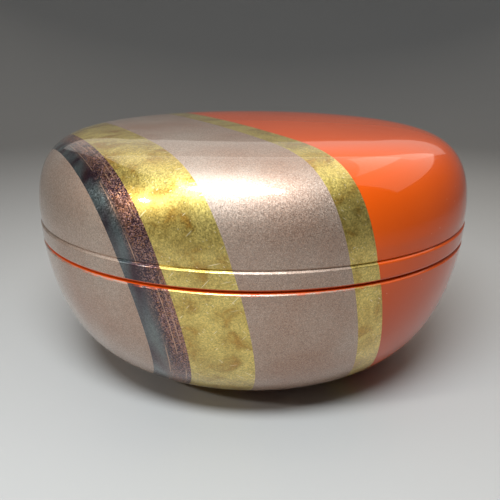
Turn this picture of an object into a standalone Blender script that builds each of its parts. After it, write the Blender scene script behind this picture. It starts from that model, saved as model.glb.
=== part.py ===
# Round lacquered food box: a low domed lid that lifts off a rounded body on a foot ring.
# Metres, +Z up. The origin is the centre of the foot ring's underside, and -Y is the front.

import math

import bmesh
import bpy

# Overall form
widest_radius = 0.110
lid_rise = 0.0376
lid_crown = 0.0030
widest_above_seam = 0.0115
body_depth = 0.0690
bowl_clearance = 0.0010

# The outlines follow (r / radius) ** squareness + (z / height) ** fullness = 1,
# and the lid adds lid_crown * (1 - (r / radius) ** 2) to that height
lid_squareness = 9.6
lid_fullness = 2.5
body_squareness = 5.2
body_fullness = 2.0

# Walls
lid_wall = 0.0046
lid_top_thickness = 0.0050
floor_thickness = 0.0055

# Seam: the lid's rebate drops round the body's riser, and its rim rests on the seat outside it
seat_width = 0.0028
riser_thickness = 0.0020
riser_height = 0.0060
riser_edge_break = 0.0005
lid_side_clearance = 0.0004
lid_seat_gap = 0.0003
rebate_headroom = 0.0006
body_edge_round = 0.0012
lid_edge_round = 0.0009

# Fine line turned round the lid: a short undercut side above and a long sloping side below
line_above_seam = 0.0086
line_short_side = 0.0005
line_long_side = 0.0012
line_depth = 0.0008

# Foot ring
foot_radius = 0.0620
foot_width = 0.0055
foot_taper = 0.0008
foot_recess = 0.0026
foot_edge_break = 0.0005

# Lacquer
vermilion = (0.62, 0.075, 0.012, 1.0)
body_roughness = 0.12
lid_roughness = 0.10
clear_coat = 1.0

# Facets
turns = 72
dome_points = 12
bowl_points = 10
lid_inside_points = 9
body_inside_points = 10
edge_points = 2
sharp_angle = math.radians(30.0)
weld_distance = 1e-6

seam_height = body_depth
widest_height = seam_height + widest_above_seam
bowl_drop = widest_height - bowl_clearance
inside_floor = foot_recess + floor_thickness


def outline_radius(offset, radius, height, squareness, fullness):
    """Radius of a superellipse outline at a height of offset from its widest ring."""
    share = min(abs(offset) / height, 1.0)
    return radius * (1.0 - share**fullness) ** (1.0 / squareness)


def outline_offset(r, radius, height, squareness, fullness):
    """Height from its widest ring at which a superellipse outline has the radius r."""
    share = min(r / radius, 1.0)
    return height * (1.0 - share**squareness) ** (1.0 / fullness)


def outside_radius(z):
    """Radius of the closed box at a height near its seam, above or below the widest ring."""
    offset = z - widest_height
    if offset > 0.0:
        return outline_radius(offset, widest_radius, lid_rise, lid_squareness, lid_fullness)
    return outline_radius(offset, widest_radius, bowl_drop, body_squareness, body_fullness)


def steps_between(first, last, count):
    """Values strictly between first and last, evenly spaced."""
    return [first + (last - first) * step / (count + 1) for step in range(1, count + 1)]


def outline_curve(radius, height, squareness, fullness, first_angle, last_angle, count):
    """Points of a superellipse outline, as radius and offset, between two angles from its ring."""
    points = []
    for angle in steps_between(first_angle, last_angle, count):
        r = radius * math.cos(angle) ** (2.0 / squareness)
        offset = height * math.sin(angle) ** (2.0 / fullness)
        points.append((r, offset))
    return points


def outline_angle(offset, height, fullness):
    """Angle at which outline_curve reaches an offset."""
    return math.asin(min(max(offset / height, 0.0), 1.0) ** (fullness / 2.0))


def dome_curve(radius, rise, first_angle, last_angle, count):
    """Points of the lid's outline, its crown added, as radius and height."""
    outline = outline_curve(
        radius, rise, lid_squareness, lid_fullness, first_angle, last_angle, count
    )
    return [
        (r, widest_height + offset + lid_crown * (1.0 - (r / radius) ** 2))
        for r, offset in outline
    ]


def rounded_edge(centre, radius, first_angle):
    """Quarter circle round centre, turning clockwise from first_angle."""
    points = []
    for step in range(edge_points + 1):
        angle = first_angle - math.pi / 2 * step / edge_points
        points.append(
            (centre[0] + radius * math.cos(angle), centre[1] + radius * math.sin(angle))
        )
    return points


def lid_section():
    """Half section of the lid, from the crown down the outside and back up the inside."""
    underside = seam_height + lid_seat_gap
    line_height = seam_height + line_above_seam
    line_top = line_height + line_short_side
    line_foot = line_height - line_long_side

    section = [(0.0, widest_height + lid_rise + lid_crown)]
    dome = dome_curve(widest_radius, lid_rise, math.pi / 2, 0.0, dome_points)
    section += [(r, z) for r, z in dome if z > line_top]
    if widest_height > line_top:
        section.append((widest_radius, widest_height))

    section.append((outside_radius(line_top), line_top))
    section.append((outside_radius(line_height) - line_depth, line_height))
    section.append((outside_radius(line_foot), line_foot))

    edge_height = underside + lid_edge_round
    middle = (line_foot + edge_height) / 2
    section.append((outside_radius(middle), middle))
    edge_centre = (outside_radius(edge_height) - lid_edge_round, edge_height)
    section += rounded_edge(edge_centre, lid_edge_round, 0.0)

    rebate_radius = outside_radius(seam_height) - seat_width + lid_side_clearance
    rebate_top = seam_height + riser_height + rebate_headroom
    section.append((rebate_radius, underside))
    section.append((rebate_radius, rebate_top))

    inner_radius = widest_radius - lid_wall
    inner_rise = lid_rise - lid_top_thickness
    ledge_angle = outline_angle(rebate_top - widest_height, inner_rise, lid_fullness)
    ledge_radius = inner_radius * math.cos(ledge_angle) ** (2.0 / lid_squareness)
    section.append((ledge_radius, rebate_top))
    section += dome_curve(inner_radius, inner_rise, ledge_angle, math.pi / 2, lid_inside_points)
    section.append((0.0, widest_height + inner_rise + lid_crown))
    return section


def body_section():
    """Half section of the body, from the floor up the inside, over the rim and down to the foot."""
    riser_outer = outside_radius(seam_height) - seat_width
    riser_inner = riser_outer - riser_thickness
    riser_top = seam_height + riser_height

    inner_drop = widest_height - inside_floor
    seam_angle = outline_angle(widest_above_seam, inner_drop, body_fullness)
    inner_radius = riser_inner / math.cos(seam_angle) ** (2.0 / body_squareness)
    inside = outline_curve(
        inner_radius,
        inner_drop,
        body_squareness,
        body_fullness,
        math.pi / 2,
        seam_angle,
        body_inside_points,
    )
    section = [(0.0, inside_floor)]
    section += [(r, widest_height - drop) for r, drop in inside]

    section.append((riser_inner, seam_height))
    section.append((riser_inner, riser_top - riser_edge_break))
    section.append((riser_inner + riser_edge_break, riser_top))
    section.append((riser_outer - riser_edge_break, riser_top))
    section.append((riser_outer, riser_top - riser_edge_break))
    section.append((riser_outer, seam_height))

    edge_height = seam_height - body_edge_round
    edge_centre = (outside_radius(edge_height) - body_edge_round, edge_height)
    section += rounded_edge(edge_centre, body_edge_round, math.pi / 2)

    foot_root = foot_radius + foot_taper
    root_drop = outline_offset(foot_root, widest_radius, bowl_drop, body_squareness, body_fullness)
    bowl = outline_curve(
        widest_radius,
        bowl_drop,
        body_squareness,
        body_fullness,
        outline_angle(widest_height - edge_height, bowl_drop, body_fullness),
        outline_angle(root_drop, bowl_drop, body_fullness),
        bowl_points,
    )
    section += [(r, widest_height - drop) for r, drop in bowl]
    section.append((foot_root, widest_height - root_drop))

    foot_inner = foot_radius - foot_width
    section.append((foot_radius, foot_edge_break))
    section.append((foot_radius - foot_edge_break, 0.0))
    section.append((foot_inner + foot_edge_break, 0.0))
    section.append((foot_inner, foot_edge_break))
    section.append((foot_inner, foot_recess))
    section.append((0.0, foot_recess))
    return section


def clear_scene():
    for existing in list(bpy.data.objects):
        bpy.data.objects.remove(existing, do_unlink=True)


def lacquer(name, colour, roughness):
    """Polished coloured lacquer: a smooth opaque surface under a clear top coat."""
    material = bpy.data.materials.new(name)
    material.use_nodes = True
    shader = material.node_tree.nodes["Principled BSDF"]
    shader.inputs["Base Color"].default_value = colour
    shader.inputs["Roughness"].default_value = roughness
    shader.inputs["Metallic"].default_value = 0.0
    shader.inputs["Coat Weight"].default_value = clear_coat
    material.diffuse_color = colour
    return material


def turned_object(name, section, material):
    """Turns a half section, which starts and ends on the Z axis, into one closed solid."""
    mesh_builder = bmesh.new()
    outline = [mesh_builder.verts.new((r, 0.0, z)) for r, z in section]
    edges = [mesh_builder.edges.new(pair) for pair in zip(outline, outline[1:])]
    bmesh.ops.spin(
        mesh_builder,
        geom=outline + edges,
        axis=(0.0, 0.0, 1.0),
        cent=(0.0, 0.0, 0.0),
        steps=turns,
        angle=2.0 * math.pi,
        use_merge=True,
    )
    bmesh.ops.remove_doubles(mesh_builder, verts=mesh_builder.verts, dist=weld_distance)
    bmesh.ops.recalc_face_normals(mesh_builder, faces=mesh_builder.faces)
    mesh = bpy.data.meshes.new(name)
    mesh_builder.to_mesh(mesh)
    mesh_builder.free()
    mesh.shade_smooth()
    mesh.set_sharp_from_angle(angle=sharp_angle)
    mesh.materials.append(material)
    turned = bpy.data.objects.new(name, mesh)
    bpy.context.scene.collection.objects.link(turned)
    return turned


def build_box():
    clear_scene()
    turned_object("body", body_section(), lacquer("body_lacquer", vermilion, body_roughness))
    turned_object("lid", lid_section(), lacquer("lid_lacquer", vermilion, lid_roughness))


build_box()
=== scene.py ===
import math

import bmesh
import bpy
from mathutils import Matrix, Vector


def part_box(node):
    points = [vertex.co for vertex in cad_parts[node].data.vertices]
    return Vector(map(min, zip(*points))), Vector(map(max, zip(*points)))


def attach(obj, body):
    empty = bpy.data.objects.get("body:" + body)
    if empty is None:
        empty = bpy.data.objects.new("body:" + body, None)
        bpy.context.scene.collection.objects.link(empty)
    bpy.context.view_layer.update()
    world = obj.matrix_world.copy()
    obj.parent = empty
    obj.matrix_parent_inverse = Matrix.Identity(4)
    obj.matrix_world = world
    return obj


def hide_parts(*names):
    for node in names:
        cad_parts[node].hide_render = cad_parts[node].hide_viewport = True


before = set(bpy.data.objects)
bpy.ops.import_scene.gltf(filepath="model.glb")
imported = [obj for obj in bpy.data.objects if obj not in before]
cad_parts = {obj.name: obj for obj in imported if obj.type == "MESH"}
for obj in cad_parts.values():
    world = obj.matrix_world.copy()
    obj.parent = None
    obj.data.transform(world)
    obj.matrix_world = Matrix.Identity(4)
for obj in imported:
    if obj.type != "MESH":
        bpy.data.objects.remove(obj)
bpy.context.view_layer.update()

lidLow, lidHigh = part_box("lid")
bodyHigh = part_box("body")[1]
print("frame loaded")


# The outside curve that lid and body share, in metres:
# (r / radius) ** squareness + (z / height) ** fullness = 1, and the lid has its crown on top
boxCurve = {
    "radius": lidHigh.x,
    "seatGap": 0.0003,            # between the body's seat and the lid's underside
    "widestAboveSeam": 0.0115,
    "crown": 0.0030,
    "lidSquareness": 9.6,
    "lidFullness": 2.5,
    "bodySquareness": 5.2,
    "bodyFullness": 2.0,
    "bowlClearance": 0.0010,      # how far the bowl's curve would end above the table
    "stepsRound": 288,
    "weld": 1e-6,
    "sameRing": 2e-5,             # how near to a ring a corner counts as on it
    "sharpAngle": math.radians(40),
}
seamHeight = lidLow.z - boxCurve["seatGap"]
widestHeight = seamHeight + boxCurve["widestAboveSeam"]
lidRise = lidHigh.z - widestHeight - boxCurve["crown"]
bowlDrop = widestHeight - boxCurve["bowlClearance"]


def curvePoint(angle, radius, height, squareness, fullness):
    # radius and offset from the widest ring, at an angle from 0 on the ring to a quarter turn
    cosine = max(math.cos(angle), 0.0)
    sine = max(math.sin(angle), 0.0)
    return radius * cosine ** (2.0 / squareness), height * sine ** (2.0 / fullness)


def angleAtRadius(share, squareness):
    return math.acos(share ** (squareness / 2.0))


def angleAtOffset(share, fullness):
    return math.asin(share ** (fullness / 2.0))


def bowlRadius(z):
    # outside radius of the closed box at a height below its widest ring
    share = (widestHeight - z) / bowlDrop
    squareness, fullness = boxCurve["bodySquareness"], boxCurve["bodyFullness"]
    return boxCurve["radius"] * (1.0 - share ** fullness) ** (1.0 / squareness)


def spaced(first, last, count):
    return [first + (last - first) * step / count for step in range(count + 1)]


def domePoints(radius, rise, flatShare, flatSteps, shoulderSteps):
    # the lid's curve from its centre to its widest ring: even steps out over the crown, then by angle
    squareness, fullness = boxCurve["lidSquareness"], boxCurve["lidFullness"]
    flat = [math.pi / 2]
    flat += [angleAtRadius(flatShare * step / flatSteps, squareness) for step in range(1, flatSteps)]
    shoulder = spaced(angleAtRadius(flatShare, squareness), 0.0, shoulderSteps)
    points = []
    for angle in flat + shoulder:
        r, offset = curvePoint(angle, radius, rise, squareness, fullness)
        points.append((r, widestHeight + offset + boxCurve["crown"] * (1.0 - (r / radius) ** 2)))
    points[0] = (0.0, points[0][1])
    return points


def bowlPoints(radius, drop, firstAngle, lastAngle, steps):
    points = []
    for angle in spaced(firstAngle, lastAngle, steps):
        r, offset = curvePoint(angle, radius, drop, boxCurve["bodySquareness"], boxCurve["bodyFullness"])
        points.append((r, widestHeight - offset))
    return points


def turnOutline(outline):
    # turns a half outline, which starts and ends on the axis, into a closed shell
    turned = bmesh.new()
    corners = [turned.verts.new((r, 0.0, z)) for r, z in outline]
    edges = [turned.edges.new(pair) for pair in zip(corners, corners[1:])]
    bmesh.ops.spin(
        turned, geom=corners + edges, axis=(0, 0, 1), cent=(0, 0, 0),
        steps=boxCurve["stepsRound"], angle=math.tau, use_merge=True,
    )
    bmesh.ops.remove_doubles(turned, verts=turned.verts, dist=boxCurve["weld"])
    bmesh.ops.recalc_face_normals(turned, faces=turned.faces)
    return turned


def roundRing(turned, ring, width, segments):
    # rounds the edge that runs round the axis through the point ring = (r, z)
    near = boxCurve["sameRing"]

    def onRing(vert):
        return abs(math.hypot(vert.co.x, vert.co.y) - ring[0]) < near and abs(vert.co.z - ring[1]) < near

    edges = [edge for edge in turned.edges if onRing(edge.verts[0]) and onRing(edge.verts[1])]
    bmesh.ops.bevel(
        turned, geom=edges, offset=width, offset_type="OFFSET", affect="EDGES",
        segments=segments, profile=0.5, material=-1,
    )


# The decoration: straight bands of metal powder, side by side at a slant, cut by parallel planes
bandLayout = {
    "across": Vector((0.84, 0.42, 0.24)).normalized(),   # from the silver field towards the vermilion
    "silverEnds": -0.0860,        # from the centre of the seam, along that direction
    "bands": (("dark", 0.012), ("gold", 0.022), ("silver", 0.042), ("gold", 0.012)),
}
finishNames = ("vermilion", "silver", "gold", "dark")


def bandEdges():
    edges = [bandLayout["silverEnds"]]
    for finish, width in bandLayout["bands"]:
        edges.append(edges[-1] + width)
    return edges


def finishAt(point):
    along = (point - Vector((0, 0, seamHeight))).dot(bandLayout["across"])
    order = ["silver"] + [finish for finish, width in bandLayout["bands"]] + ["vermilion"]
    passed = sum(1 for edge in bandEdges() if along > edge)
    return finishNames.index(order[passed])


def layBands(turned, isDecorated):
    # splits the decorated faces along each band's edge, then gives every face its finish
    decorated = 1
    for face in turned.faces:
        face.material_index = decorated if isDecorated(face) else 0
    for edge in bandEdges():
        faces = [face for face in turned.faces if face.material_index == decorated]
        around = {e for face in faces for e in face.edges}
        corners = {v for face in faces for v in face.verts}
        bmesh.ops.bisect_plane(
            turned, geom=faces + list(around) + list(corners), dist=boxCurve["weld"],
            plane_co=Vector((0, 0, seamHeight)) + bandLayout["across"] * edge,
            plane_no=bandLayout["across"],
        )
    for face in turned.faces:
        if face.material_index == decorated:
            face.material_index = finishAt(face.calc_center_median())


def finishPiece(name, turned, finishes):
    mesh = bpy.data.meshes.new(name)
    turned.to_mesh(mesh)
    turned.free()
    for finish in finishes:
        mesh.materials.append(finish)
    mesh.shade_smooth()
    mesh.set_sharp_from_angle(angle=boxCurve["sharpAngle"])
    piece = bpy.data.objects.new(name, mesh)
    bpy.context.scene.collection.objects.link(piece)
    weighted = piece.modifiers.new("Even shading", "WEIGHTED_NORMAL")
    weighted.keep_sharp = True
    return piece


# Finishes
def addNode(tree, kind, sockets, **settings):
    # a new node; a socket given as another node's output is linked, anything else is a plain value
    node = tree.nodes.new("ShaderNode" + kind)
    for setting, value in settings.items():
        setattr(node, setting, value)
    for socket, value in sockets.items():
        if isinstance(value, bpy.types.NodeSocket):
            tree.links.new(value, node.inputs[socket])
        else:
            node.inputs[socket].default_value = value
    return node


def noiseNode(tree, place, scale, detail=2.0, roughness=0.5, distortion=0.0):
    return addNode(tree, "TexNoise", {
        "Vector": place, "Scale": scale, "Detail": detail,
        "Roughness": roughness, "Distortion": distortion,
    })


def rangeNode(tree, value, fromLow, fromHigh, toLow, toHigh):
    sockets = {"Value": value, "From Min": fromLow, "From Max": fromHigh, "To Min": toLow, "To Max": toHigh}
    return addNode(tree, "MapRange", sockets).outputs["Result"]


def mathNode(tree, operation, first, second=0.0):
    return addNode(tree, "Math", {0: first, 1: second}, operation=operation).outputs[0]


def nearNode(tree, value, middle, reach):
    # 1 where the value is within reach of the middle, and 0 elsewhere
    return addNode(tree, "Math", {0: value, 1: middle, 2: reach}, operation="COMPARE").outputs[0]


def mixColours(tree, share, first, second, blend="MIX"):
    # of the node's sockets, inputs 6 and 7 and output 2 are the ones for colours
    node = addNode(tree, "Mix", {"Factor": share}, data_type="RGBA", blend_type=blend)
    for socket, value in ((node.inputs[6], first), (node.inputs[7], second)):
        if isinstance(value, bpy.types.NodeSocket):
            tree.links.new(value, socket)
        else:
            socket.default_value = (*value, 1.0)
    return node.outputs[2]


def shadeColour(tree, colour, shade):
    # the colour made lighter or darker by a value around 1
    grey = addNode(tree, "CombineColor", {0: shade, 1: shade, 2: shade}).outputs[0]
    return mixColours(tree, 1.0, colour, grey, "MULTIPLY")


def flakes(tree, place, size, tilt):
    # tiny flakes of metal powder: a random colour for each, and a normal tilted at random
    cells = addNode(tree, "TexVoronoi", {"Vector": place, "Scale": 1.0 / size, "Randomness": 1.0})
    random = cells.outputs["Color"]
    parts = addNode(tree, "SeparateColor", {"Color": random}).outputs
    centred = addNode(tree, "VectorMath", {0: random, 1: (-0.5, -0.5, -0.5)}, operation="ADD")
    leaned = addNode(tree, "VectorMath", {0: centred.outputs[0], "Scale": tilt}, operation="SCALE")
    surface = tree.nodes.new("ShaderNodeNewGeometry").outputs["Normal"]
    summed = addNode(tree, "VectorMath", {0: surface, 1: leaned.outputs[0]}, operation="ADD")
    normal = addNode(tree, "VectorMath", {0: summed.outputs[0]}, operation="NORMALIZE")
    return parts, normal.outputs[0]


clearCoat = {"weight": 1.0, "roughness": 0.05, "ior": 1.4}


def startFinish(name):
    # a material with its shader set up as polished work under a clear coat
    material = bpy.data.materials.new(name)
    material.use_nodes = True
    tree = material.node_tree
    shader = tree.nodes["Principled BSDF"]
    shader.inputs["Coat Weight"].default_value = clearCoat["weight"]
    shader.inputs["Coat Roughness"].default_value = clearCoat["roughness"]
    shader.inputs["Coat IOR"].default_value = clearCoat["ior"]
    place = tree.nodes.new("ShaderNodeTexCoord").outputs["Object"]
    return material, tree, shader, place


def wire(tree, shader, **sockets):
    for name, value in sockets.items():
        tree.links.new(value, shader.inputs[name.replace("_", " ")])


# The powder is rubbed through in places on the bevel under the seam
edgeWear = {
    "below": 0.0007,              # from the seam to the middle of the bevel
    "reach": 0.0009,
    "spotSize": 0.0030,
    "spotEdge": (0.44, 0.66),
    "most": 0.6,
    "powderMetal": 0.95,
    "bareMetal": 0.1,
}


def worn(tree, place):
    height = addNode(tree, "SeparateXYZ", {0: place}).outputs["Z"]
    onBevel = nearNode(tree, height, seamHeight - edgeWear["below"], edgeWear["reach"])
    spots = noiseNode(tree, place, 1.0 / edgeWear["spotSize"], detail=3.0)
    spot = rangeNode(tree, spots.outputs["Fac"], *edgeWear["spotEdge"], 0.0, edgeWear["most"])
    return mathNode(tree, "MULTIPLY", onBevel, spot)


def wirePowder(tree, shader, place, colour, roughness, normal):
    # the colour and metal of a powder, with bare lacquer where it is worn through
    bare = worn(tree, place)
    colour = mixColours(tree, bare, colour, lacquerLook["bright"])
    metallic = rangeNode(tree, bare, 0.0, 1.0, edgeWear["powderMetal"], edgeWear["bareMetal"])
    wire(tree, shader, Base_Color=colour, Metallic=metallic, Roughness=roughness, Normal=normal)


lacquerLook = {
    "bright": (0.63, 0.078, 0.003),
    "deep": (0.57, 0.062, 0.002),
    "dust": (0.80, 0.42, 0.25),
    "cloudSize": 0.045,
    "dustSpacing": 0.006,
    "dustEdge": (0.035, 0.05),
    "dustShare": 0.6,
    "waveSize": 0.009,
    "waveStrength": 0.02,
    "waveDepth": 0.001,
    "roughness": (0.30, 0.38),
    "specular": 0.1,              # low, as the pigment lies straight under the clear coat
}


def makeVermilion():
    material, tree, shader, place = startFinish("vermilion_lacquer")
    clouds = noiseNode(tree, place, 1.0 / lacquerLook["cloudSize"], detail=3.0)
    colour = mixColours(tree, clouds.outputs["Fac"], lacquerLook["deep"], lacquerLook["bright"])
    specks = addNode(tree, "TexVoronoi", {"Vector": place, "Scale": 1.0 / lacquerLook["dustSpacing"]})
    edge, most = lacquerLook["dustEdge"], lacquerLook["dustShare"]
    speck = rangeNode(tree, specks.outputs["Distance"], *edge, most, 0.0)
    colour = mixColours(tree, speck, colour, lacquerLook["dust"])
    waves = noiseNode(tree, place, 1.0 / lacquerLook["waveSize"])
    bump = addNode(tree, "Bump", {
        "Height": waves.outputs["Fac"],
        "Strength": lacquerLook["waveStrength"],
        "Distance": lacquerLook["waveDepth"],
    })
    roughness = rangeNode(tree, clouds.outputs["Fac"], 0.3, 0.7, *lacquerLook["roughness"])
    shader.inputs["Specular IOR Level"].default_value = lacquerLook["specular"]
    wire(tree, shader, Base_Color=colour, Roughness=roughness, Normal=bump.outputs["Normal"])
    return material


silverLook = {
    "metal": (0.53, 0.445, 0.375),
    "warm": (0.38, 0.19, 0.115),
    "flakeSize": 0.00032,
    "tilt": 0.13,
    "cloudSize": 0.036,
    "drift": (0.18, 0.60),        # warmth of the slow clouds, and what each flake adds to it
    "flakeWarmth": (-0.06, 0.20),
    "flakeShade": (0.72, 1.22),
    "roughness": (0.52, 0.62),
}


def makeSilver():
    material, tree, shader, place = startFinish("silver_powder")
    parts, normal = flakes(tree, place, silverLook["flakeSize"], silverLook["tilt"])
    clouds = noiseNode(tree, place, 1.0 / silverLook["cloudSize"], detail=4.0)
    drift = rangeNode(tree, clouds.outputs["Fac"], 0.32, 0.68, *silverLook["drift"])
    warmth = mathNode(tree, "ADD", drift, rangeNode(tree, parts[0], 0.0, 1.0, *silverLook["flakeWarmth"]))
    colour = mixColours(tree, warmth, silverLook["metal"], silverLook["warm"])
    colour = shadeColour(tree, colour, rangeNode(tree, parts[1], 0.0, 1.0, *silverLook["flakeShade"]))
    roughness = rangeNode(tree, parts[2], 0.0, 1.0, *silverLook["roughness"])
    wirePowder(tree, shader, place, colour, roughness, normal)
    return material


goldLook = {
    "metal": (0.74, 0.565, 0.165),
    "olive": (0.42, 0.255, 0.042),
    "copper": (0.58, 0.29, 0.055),
    "pit": (0.10, 0.055, 0.012),
    # pale gold for the scratches: a painted glint, standing in for the light that scratches catch
    "glintingScratch": (0.95, 0.82, 0.50),
    "flakeSize": 0.00034,
    "tilt": 0.07,
    "flakeShade": (0.86, 1.12),
    "patchSize": 0.012,
    "oliveShare": 0.9,
    "copperShare": 0.55,
    "rubSize": 0.0008,
    "rubShade": (0.62, 1.26),
    "roughness": (0.36, 0.46),
    "pitSpacing": 0.0016,
    "pitEdge": (0.06, 0.13),
    "pitShare": 0.75,
    "scratchSpacing": 0.0014,
    "scratchStretch": 19.0,
    "scratchEdge": (0.09, 0.15),
    "scratchGlintShare": 0.8,
    "scratchLean": (0.2, 0.1),    # about X and Z, the same for all, and one turn about Y for each set
    "scratchTurns": (0.7, 1.3, -0.9),
}


def glintingScratches(tree, place, turn):
    # short straight scratch marks, all at one angle: the middles of some long thin cells, which the gold
    # finish fills with a pale painted glint
    spacing = goldLook["scratchSpacing"]
    size = (spacing, spacing, spacing * goldLook["scratchStretch"])
    leanX, leanZ = goldLook["scratchLean"]
    stretched = addNode(
        tree, "Mapping", {"Vector": place, "Rotation": (leanX, turn, leanZ), "Scale": size},
        vector_type="TEXTURE",
    )
    cells = addNode(tree, "TexVoronoi", {"Vector": stretched.outputs[0], "Scale": 1.0})
    chosen = addNode(tree, "SeparateColor", {"Color": cells.outputs["Color"]}).outputs[0]
    edge, most = goldLook["scratchEdge"], goldLook["scratchGlintShare"]
    middle = rangeNode(tree, cells.outputs["Distance"], *edge, most, 0.0)
    return mathNode(tree, "MULTIPLY", rangeNode(tree, chosen, 0.35, 0.55, 0.0, 1.0), middle)


def makeGold():
    material, tree, shader, place = startFinish("gold_powder")
    parts, normal = flakes(tree, place, goldLook["flakeSize"], goldLook["tilt"])
    patches = noiseNode(tree, place, 1.0 / goldLook["patchSize"], detail=5.0, roughness=0.6, distortion=0.6)
    rubs = noiseNode(tree, place, 1.0 / goldLook["rubSize"], detail=3.0, roughness=0.65)
    olive = rangeNode(tree, patches.outputs["Fac"], 0.42, 0.66, 0.0, goldLook["oliveShare"])
    colour = mixColours(tree, olive, goldLook["metal"], goldLook["olive"])
    warm = addNode(tree, "SeparateColor", {"Color": patches.outputs["Color"]}).outputs[0]
    copper = rangeNode(tree, warm, 0.56, 0.70, 0.0, goldLook["copperShare"])
    colour = mixColours(tree, copper, colour, goldLook["copper"])
    rubbed = rangeNode(tree, rubs.outputs["Fac"], 0.3, 0.7, *goldLook["rubShade"])
    colour = shadeColour(tree, colour, rubbed)
    colour = shadeColour(tree, colour, rangeNode(tree, parts[0], 0.0, 1.0, *goldLook["flakeShade"]))

    pits = addNode(tree, "TexVoronoi", {"Vector": place, "Scale": 1.0 / goldLook["pitSpacing"]})
    chosen = addNode(tree, "SeparateColor", {"Color": pits.outputs["Color"]}).outputs[0]
    centre = rangeNode(tree, pits.outputs["Distance"], *goldLook["pitEdge"], 1.0, 0.0)
    pit = mathNode(tree, "MULTIPLY", rangeNode(tree, chosen, 0.5, 0.9, 0.0, goldLook["pitShare"]), centre)
    colour = mixColours(tree, pit, colour, goldLook["pit"])

    # scratches in three directions, each laid on as a painted glint in pale gold
    for turn in goldLook["scratchTurns"]:
        colour = mixColours(tree, glintingScratches(tree, place, turn), colour, goldLook["glintingScratch"])
    roughness = rangeNode(tree, rubs.outputs["Fac"], 0.3, 0.7, *goldLook["roughness"])
    wirePowder(tree, shader, place, colour, roughness, normal)
    return material


darkLook = {
    "plum": (0.050, 0.024, 0.036),
    "teal": (0.14, 0.170, 0.175),
    "copper": (0.40, 0.17, 0.060),
    "pink": (0.44, 0.26, 0.27),
    "hair": (0.70, 0.42, 0.28),
    "flakeSize": 0.00045,
    "tilt": 0.16,
    "flakeShade": (0.75, 1.25),
    "patchSize": 0.0110,
    "stretch": 4.0,
    "speckleStart": (0.30, 0.58),       # of the band's width, as the places and width of the hairs are
    "glowShare": 0.35,
    "hairPlaces": (0.44, 0.71, 0.86),
    "hairWidth": 0.013,
    "hairShare": 0.6,
    "roughness": (0.32, 0.48),
}


def alongBands(tree, place, stretch):
    # the object's coordinates turned so that Z runs along the bands up the front, and squeezed there
    across = bandLayout["across"]
    up = (Vector((0, 0, 1)) - across * across.z).normalized()
    turn = Matrix((across, up.cross(across), up)).to_euler()
    turned = addNode(tree, "Mapping", {"Vector": place, "Rotation": turn})
    squeezed = {"Vector": turned.outputs[0], "Scale": (1.0, 1.0, 1.0 / stretch)}
    return addNode(tree, "Mapping", squeezed).outputs[0]


def makeDark():
    # smooth blue-grey on one side, pink and copper speckle on the other, and straight hairlines
    material, tree, shader, place = startFinish("dark_powder")
    parts, normal = flakes(tree, place, darkLook["flakeSize"], darkLook["tilt"])
    drawn = alongBands(tree, place, darkLook["stretch"])
    patches = noiseNode(tree, drawn, 1.0 / darkLook["patchSize"], detail=1.5)
    hues = addNode(tree, "SeparateColor", {"Color": patches.outputs["Color"]}).outputs
    start = bandLayout["silverEnds"] + seamHeight * bandLayout["across"].z
    end = start + bandLayout["bands"][0][1]
    share = rangeNode(tree, addNode(tree, "SeparateXYZ", {0: drawn}).outputs["X"], start, end, 0.0, 1.0)

    teal = rangeNode(tree, hues[0], 0.38, 0.62, 0.0, 1.0)
    smooth = mixColours(tree, teal, darkLook["plum"], darkLook["teal"])
    smooth = shadeColour(tree, smooth, rangeNode(tree, parts[0], 0.0, 1.0, *darkLook["flakeShade"]))
    speckle = mixColours(tree, parts[1], darkLook["copper"], darkLook["pink"])
    density = mathNode(tree, "ADD", parts[0], rangeNode(tree, hues[1], 0.35, 0.65, -0.2, 0.2))
    speckle = mixColours(tree, rangeNode(tree, density, 0.3, 0.9, 0.0, 1.0), darkLook["plum"], speckle)
    colour = mixColours(tree, rangeNode(tree, share, *darkLook["speckleStart"], 0.0, 1.0), smooth, speckle)
    glow = rangeNode(tree, hues[2], 0.50, 0.66, 0.0, darkLook["glowShare"])
    glow = mathNode(tree, "MULTIPLY", glow, share)
    colour = mixColours(tree, glow, colour, darkLook["copper"])

    for middle in darkLook["hairPlaces"]:
        hairline = nearNode(tree, share, middle, darkLook["hairWidth"])
        breaks = noiseNode(tree, drawn, (1.0 + middle) / darkLook["patchSize"], detail=0.0)
        whole = rangeNode(tree, breaks.outputs["Fac"], 0.42, 0.62, 0.0, darkLook["hairShare"])
        hair = mathNode(tree, "MULTIPLY", hairline, whole)
        colour = mixColours(tree, hair, colour, darkLook["hair"])
    roughness = rangeNode(tree, parts[2], 0.0, 1.0, *darkLook["roughness"])
    wirePowder(tree, shader, place, colour, roughness, normal)
    return material


finishes = [makeVermilion(), makeSilver(), makeGold(), makeDark()]
print("finishes made")


# Lid
lidSizes = {
    "wall": 0.0046,
    "topThickness": 0.0050,
    "seatWidth": 0.0028,
    "sideClearance": 0.0004,
    "riserHeadroom": 0.0006,
    "edgeRound": (0.0012, 6),     # width and segments, here and below
    "rebateRound": (0.0003, 3),
    "bareEdge": -0.30,            # below this slope of the rounded edge the powder stops
    "lineAboveSeam": 0.0086,
    "lineUpperSide": 0.0009,
    "lineLowerSide": 0.0008,
    "lineDepth": 0.0010,
    "lineLip": 0.0003,            # how far the wall draws in towards the line
    "lineDrawn": 0.0055,          # height over which it does
    "lineTopRound": (0.00015, 2),
    "lineFootRound": (0.0004, 3),
    "flatShare": 0.7,             # of the radius, with even steps, and then the shoulder
    "outsideSteps": (14, 48),
    "insideSteps": (6, 24),
    "sideSteps": 6,
}


def drawnIn(z, lineTop):
    # the wall draws in smoothly on its way down to the line
    share = min(max(1.0 - (z - lineTop) / lidSizes["lineDrawn"], 0.0), 1.0)
    return lidSizes["lineLip"] * share * share * (3.0 - 2.0 * share)


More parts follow.
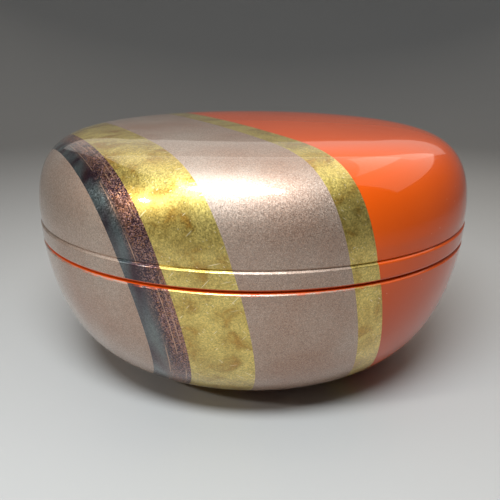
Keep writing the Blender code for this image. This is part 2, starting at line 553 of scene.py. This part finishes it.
def makeLid():
    radius = boxCurve["radius"]
    lineHeight = seamHeight + lidSizes["lineAboveSeam"]
    lineTop = lineHeight + lidSizes["lineUpperSide"]
    lineFoot = lineHeight - lidSizes["lineLowerSide"]
    underside = lidLow.z

    outline = domePoints(radius, lidRise, lidSizes["flatShare"], *lidSizes["outsideSteps"])
    outline += [(bowlRadius(z), z) for z in spaced(widestHeight, lineTop, lidSizes["sideSteps"])[1:]]
    outline = [(r - drawnIn(z, lineTop), z) for r, z in outline]
    outline.append((bowlRadius(lineHeight) - lidSizes["lineDepth"], lineHeight))
    outline += [(bowlRadius(z), z) for z in spaced(lineFoot, underside, lidSizes["sideSteps"])]

    rebate = bowlRadius(seamHeight) - lidSizes["seatWidth"] + lidSizes["sideClearance"]
    rebateTop = bodyHigh.z + lidSizes["riserHeadroom"]
    inner = radius - lidSizes["wall"]
    outline += [(rebate, underside), (rebate, rebateTop), (inner, rebateTop)]
    innerRise = lidRise - lidSizes["topThickness"]
    outline += reversed(domePoints(inner, innerRise, lidSizes["flatShare"], *lidSizes["insideSteps"]))

    lid = turnOutline(outline)
    roundRing(lid, (bowlRadius(underside), underside), *lidSizes["edgeRound"])
    roundRing(lid, (rebate, underside), *lidSizes["rebateRound"])
    roundRing(lid, (bowlRadius(lineTop) - lidSizes["lineLip"], lineTop), *lidSizes["lineTopRound"])
    roundRing(lid, (bowlRadius(lineFoot), lineFoot), *lidSizes["lineFootRound"])
    middle = Vector((0, 0, seamHeight))

    def isDecorated(face):
        centre = face.calc_center_median()
        onRim = centre.z < lineFoot and face.normal.z < lidSizes["bareEdge"]
        return face.normal.dot(centre - middle) > 0 and not onRim

    layBands(lid, isDecorated)
    return finishPiece("lid_finished", lid, finishes)


lid = makeLid()
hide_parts("lid")
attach(lid, "root")
print("lid made")


# Body
bodySizes = {
    "seatWidth": 0.0028,
    "riserThickness": 0.0020,
    "riserRound": (0.0005, 3),    # width and segments, here and below
    "rimDepth": 0.0016,           # the bevel under the seam, inwards and downwards
    "rimHeight": 0.0013,
    "rimRound": (0.0002, 4),
    "bareDepth": 0.0008,          # how far down the bevel the lacquer stays bare
    "floorThickness": 0.0055,
    "footRadius": 0.0620,
    "footWidth": 0.0055,
    "footTaper": 0.0008,
    "footRecess": 0.0026,
    "footRound": (0.0005, 3),
    "insideSteps": 30,
    "outsideSteps": 56,
}


def makeBody():
    radius = boxCurve["radius"]
    riserOuter = bowlRadius(seamHeight) - bodySizes["seatWidth"]
    riserInner = riserOuter - bodySizes["riserThickness"]
    riserTop = bodyHigh.z
    insideFloor = bodySizes["footRecess"] + bodySizes["floorThickness"]

    innerDrop = widestHeight - insideFloor
    seamAngle = angleAtOffset(boxCurve["widestAboveSeam"] / innerDrop, boxCurve["bodyFullness"])
    innerRadius = riserInner / math.cos(seamAngle) ** (2.0 / boxCurve["bodySquareness"])
    outline = bowlPoints(innerRadius, innerDrop, math.pi / 2, seamAngle, bodySizes["insideSteps"])
    outline[0] = (0.0, insideFloor)
    rimRadius = bowlRadius(seamHeight) - bodySizes["rimDepth"]
    rimFoot = seamHeight - bodySizes["rimHeight"]
    bareFrom = seamHeight - bodySizes["bareDepth"]
    bareRadius = rimRadius + bodySizes["rimDepth"] * bodySizes["bareDepth"] / bodySizes["rimHeight"]
    outline += [(riserInner, riserTop), (riserOuter, riserTop), (riserOuter, seamHeight)]
    outline += [(rimRadius, seamHeight), (bareRadius, bareFrom)]

    footRoot = bodySizes["footRadius"] + bodySizes["footTaper"]
    rimAngle = angleAtOffset((widestHeight - rimFoot) / bowlDrop, boxCurve["bodyFullness"])
    rootAngle = angleAtRadius(footRoot / radius, boxCurve["bodySquareness"])
    outline += bowlPoints(radius, bowlDrop, rimAngle, rootAngle, bodySizes["outsideSteps"])
    rootRing = outline[-1]
    footInner = bodySizes["footRadius"] - bodySizes["footWidth"]
    footRings = [(bodySizes["footRadius"], 0.0), (footInner, 0.0)]
    outline += footRings + [(footInner, bodySizes["footRecess"]), (0.0, bodySizes["footRecess"])]

    body = turnOutline(outline)
    roundRing(body, (bowlRadius(rimFoot), rimFoot), *bodySizes["rimRound"])
    for ring in [(riserInner, riserTop), (riserOuter, riserTop)]:
        roundRing(body, ring, *bodySizes["riserRound"])
    for ring in footRings:
        roundRing(body, ring, *bodySizes["footRound"])
    middle = Vector((0, 0, seamHeight))

    def isDecorated(face):
        centre = face.calc_center_median()
        outward = face.normal.dot(centre - middle) > 0
        aboveFoot = centre.z > rootRing[1] or math.hypot(centre.x, centre.y) > rootRing[0]
        return outward and aboveFoot and centre.z < bareFrom

    layBands(body, isDecorated)
    return finishPiece("body_finished", body, finishes)


body = makeBody()
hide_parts("body")
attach(body, "root")
print("body made")


# Stage: a pale round floor that curves up into a wall
stageSizes = {
    "flatRadius": 0.80,
    "wallRadius": 1.25,
    "wallHeight": 0.95,
    "drop": 0.0002,               # how far below the foot ring the floor lies
    "bendSteps": 12,
    "stepsRound": 96,
    "weld": 1e-5,
    "colour": (0.41, 0.39, 0.375, 1.0),
    "roughness": 0.7,
}


def makeStage():
    bend = stageSizes["wallRadius"] - stageSizes["flatRadius"]
    outline = [(0.0, 0.0), (stageSizes["flatRadius"], 0.0)]
    for angle in spaced(0.0, math.pi / 2, stageSizes["bendSteps"])[1:]:
        outline.append((stageSizes["flatRadius"] + bend * math.sin(angle), bend * (1 - math.cos(angle))))
    outline.append((stageSizes["wallRadius"], stageSizes["wallHeight"]))
    stage = bmesh.new()
    corners = [stage.verts.new((r, 0.0, z - stageSizes["drop"])) for r, z in outline]
    edges = [stage.edges.new(pair) for pair in zip(corners, corners[1:])]
    bmesh.ops.spin(
        stage, geom=corners + edges, axis=(0, 0, 1), cent=(0, 0, 0),
        steps=stageSizes["stepsRound"], angle=math.tau, use_merge=True,
    )
    bmesh.ops.remove_doubles(stage, verts=stage.verts, dist=stageSizes["weld"])
    bmesh.ops.recalc_face_normals(stage, faces=stage.faces)
    mesh = bpy.data.meshes.new("stage")
    stage.to_mesh(mesh)
    stage.free()
    mesh.shade_smooth()
    backdrop = bpy.data.objects.new("stage", mesh)
    bpy.context.scene.collection.objects.link(backdrop)
    material = bpy.data.materials.new("pale_floor")
    material.use_nodes = True
    shader = material.node_tree.nodes["Principled BSDF"]
    shader.inputs["Base Color"].default_value = stageSizes["colour"]
    shader.inputs["Roughness"].default_value = stageSizes["roughness"]
    mesh.materials.append(material)


makeStage()
print("stage made")


# Lights
lightsAim = Vector((0, 0, 0.08))
roomLight = {"colour": (0.9, 0.95, 1.0, 1.0), "strength": 0.04}


def softLight(name, azimuth, elevation, distance, width, height, watts, colour, shape="RECTANGLE"):
    # a soft light facing the box; azimuth 0 is in front, positive to the right
    direction = Vector((
        math.sin(math.radians(azimuth)) * math.cos(math.radians(elevation)),
        -math.cos(math.radians(azimuth)) * math.cos(math.radians(elevation)),
        math.sin(math.radians(elevation)),
    ))
    light = bpy.data.lights.new(name, "AREA")
    light.shape = shape
    light.size = width
    light.size_y = height
    light.energy = watts
    light.color = colour
    lamp = bpy.data.objects.new(name, light)
    lamp.location = lightsAim + direction * distance
    lamp.rotation_euler = direction.to_track_quat("Z", "Y").to_euler()
    lamp.visible_camera = False
    bpy.context.scene.collection.objects.link(lamp)


softLight("window_behind", 178, 31, 1.0, 1.5, 0.50, 1.0, (1.0, 0.96, 0.88))
softLight("overhead", 180, 74, 0.50, 0.75, 0.50, 1.3, (1.0, 0.97, 0.92))
softLight("right_window", 105, 42, 0.55, 0.60, 0.30, 0.6, (1.0, 0.94, 0.82))
softLight("key", -10, 51, 0.50, 0.34, 0.14, 4.0, (0.84, 0.94, 1.0), "ELLIPSE")
softLight("side_lamp", -51, 23, 0.50, 0.045, 0.032, 0.6, (1.0, 0.98, 0.92), "ELLIPSE")

world = bpy.data.worlds.new("room")
bpy.context.scene.world = world
world.use_nodes = True
world.node_tree.nodes["Background"].inputs["Color"].default_value = roomLight["colour"]
world.node_tree.nodes["Background"].inputs["Strength"].default_value = roomLight["strength"]
bpy.context.scene.view_settings.view_transform = "Standard"
print("lights placed")


# Camera, at the photograph's angle and distance
cameraSetup = {
    "target": Vector((-0.0014, 0.0, 0.05015)),
    "distance": 0.3411,
    "elevation": math.radians(18.29),
    "roll": math.radians(0.23),
    "lens": 43.85,
    "sensor": 36.0,
    "nearest": 0.01,
}
camera = bpy.data.cameras.new("camera")
camera.lens = cameraSetup["lens"]
camera.sensor_width = cameraSetup["sensor"]
camera.clip_start = cameraSetup["nearest"]
viewer = bpy.data.objects.new("camera", camera)
backward = Vector((0, -math.cos(cameraSetup["elevation"]), math.sin(cameraSetup["elevation"])))
turn = backward.to_track_quat("Z", "Y").to_matrix() @ Matrix.Rotation(cameraSetup["roll"], 3, "Z")
viewerPlace = cameraSetup["target"] + backward * cameraSetup["distance"]
viewer.matrix_world = Matrix.Translation(viewerPlace) @ turn.to_4x4()
bpy.context.scene.collection.objects.link(viewer)
bpy.context.scene.camera = viewer
print("camera set")
